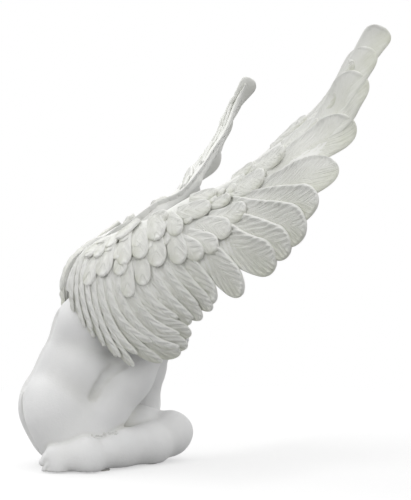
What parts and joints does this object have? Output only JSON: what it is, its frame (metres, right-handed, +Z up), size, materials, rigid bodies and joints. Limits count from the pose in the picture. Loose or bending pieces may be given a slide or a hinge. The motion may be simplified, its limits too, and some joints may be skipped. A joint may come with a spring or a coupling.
{
  "type": "angel figurine",
  "caption": "Cast resin figurine of a seated, bowed winged figure with two tall raised feathered wings, hands clasped round a raised knee, on felt dots.",
  "frame": {"origin": "under the middle of the overall box, on the surface that the figurine stands on", "axes": "+X the way the figure faces, +Y the figure's left, +Z up"},
  "size_m": [0.1868, 0.2902, 0.2566],
  "materials": {
    "body_resin": "smooth satin, cool white cast resin",
    "wing_resin": "carved feathers, warm ivory white with a greenish wash in the recesses",
    "steel_pin": "plain drawn steel rod",
    "felt": "pressed white felt"
  },
  "bodies": {
    "root": {"torso": "body_resin", "right_lower_leg": "body_resin", "left_lower_leg": "body_resin", "head": "body_resin", "right_arm": "body_resin", "left_arm": "body_resin", "right_wing": "wing_resin", "left_wing": "wing_resin", "right_wing_pin_front": "steel_pin", "right_wing_pin_back": "steel_pin", "left_wing_pin_front": "steel_pin", "left_wing_pin_back": "steel_pin", "neck_pin": "steel_pin", "right_shoulder_pin": "steel_pin", "left_shoulder_pin": "steel_pin", "right_knee_pin": "steel_pin", "left_knee_pin": "steel_pin", "felt_dot_1": "felt", "felt_dot_2": "felt", "felt_dot_3": "felt", "felt_dot_4": "felt"}
  },
  "joints": []
}
